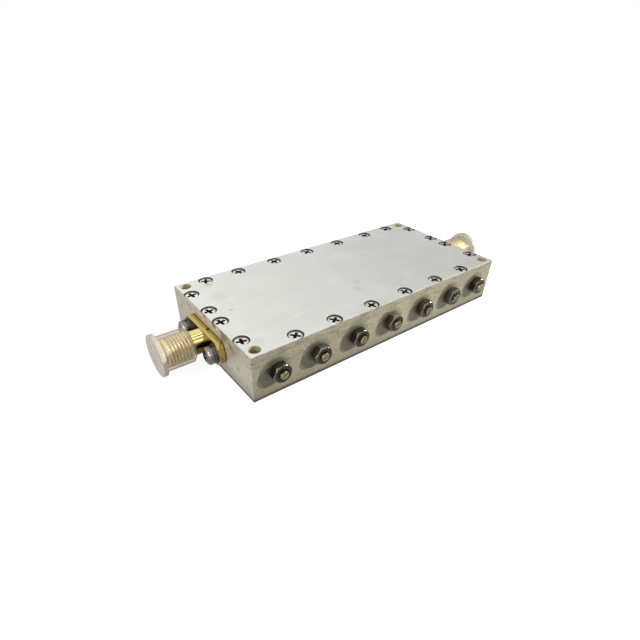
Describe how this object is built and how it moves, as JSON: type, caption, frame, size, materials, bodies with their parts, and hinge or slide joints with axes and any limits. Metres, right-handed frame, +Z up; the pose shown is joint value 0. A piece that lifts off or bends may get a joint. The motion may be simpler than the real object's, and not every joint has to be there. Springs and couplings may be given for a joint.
{
  "type": "cavity filter",
  "caption": "Flat milled cavity filter: silver-plated housing with a screwed cover, tuning screws with lock nuts along one side and a capped coaxial jack on each end.",
  "frame": {"origin": "centre of the housing's underside", "axes": "+X along the filter from the left jack to the right jack, -Y is the side with the tuning screws, +Z up through the cover"},
  "size_m": [0.099, 0.0373, 0.011],
  "materials": {
    "silver_plate": "milled, silver plated, satin",
    "rod_plate": "turned brass, silver plated",
    "steel": "bright steel",
    "dark_nickel": "dark nickel",
    "brass": "plain turned brass",
    "gold_plate": "gold plated, bright",
    "white_insulator": "white insulator",
    "clear_cap": "translucent moulded cap"
  },
  "bodies": {
    "root": {"housing": "silver_plate", "cover": "silver_plate", "near_cover_screws": "steel", "far_cover_screws": "steel", "left_cover_screws": "steel", "right_cover_screws": "steel", "resonator_1": "rod_plate", "tuning_screw_1": "brass", "lock_nut_1": "dark_nickel", "resonator_2": "rod_plate", "tuning_screw_2": "brass", "lock_nut_2": "dark_nickel", "resonator_3": "rod_plate", "tuning_screw_3": "brass", "lock_nut_3": "dark_nickel", "resonator_4": "rod_plate", "tuning_screw_4": "brass", "lock_nut_4": "dark_nickel", "resonator_5": "rod_plate", "tuning_screw_5": "brass", "lock_nut_5": "dark_nickel", "resonator_6": "rod_plate", "tuning_screw_6": "brass", "lock_nut_6": "dark_nickel", "resonator_7": "rod_plate", "tuning_screw_7": "brass", "lock_nut_7": "dark_nickel", "left_jack_shell": "gold_plate", "left_jack_insulator": "white_insulator", "left_jack_contact": "gold_plate", "left_dust_cap": "clear_cap", "left_flange_screws": "steel", "left_spring_washers": "dark_nickel", "left_flat_washers": "dark_nickel", "right_jack_shell": "gold_plate", "right_jack_insulator": "white_insulator", "right_jack_contact": "gold_plate", "right_dust_cap": "clear_cap", "right_flange_screws": "steel", "right_spring_washers": "dark_nickel", "right_flat_washers": "dark_nickel"}
  },
  "joints": []
}
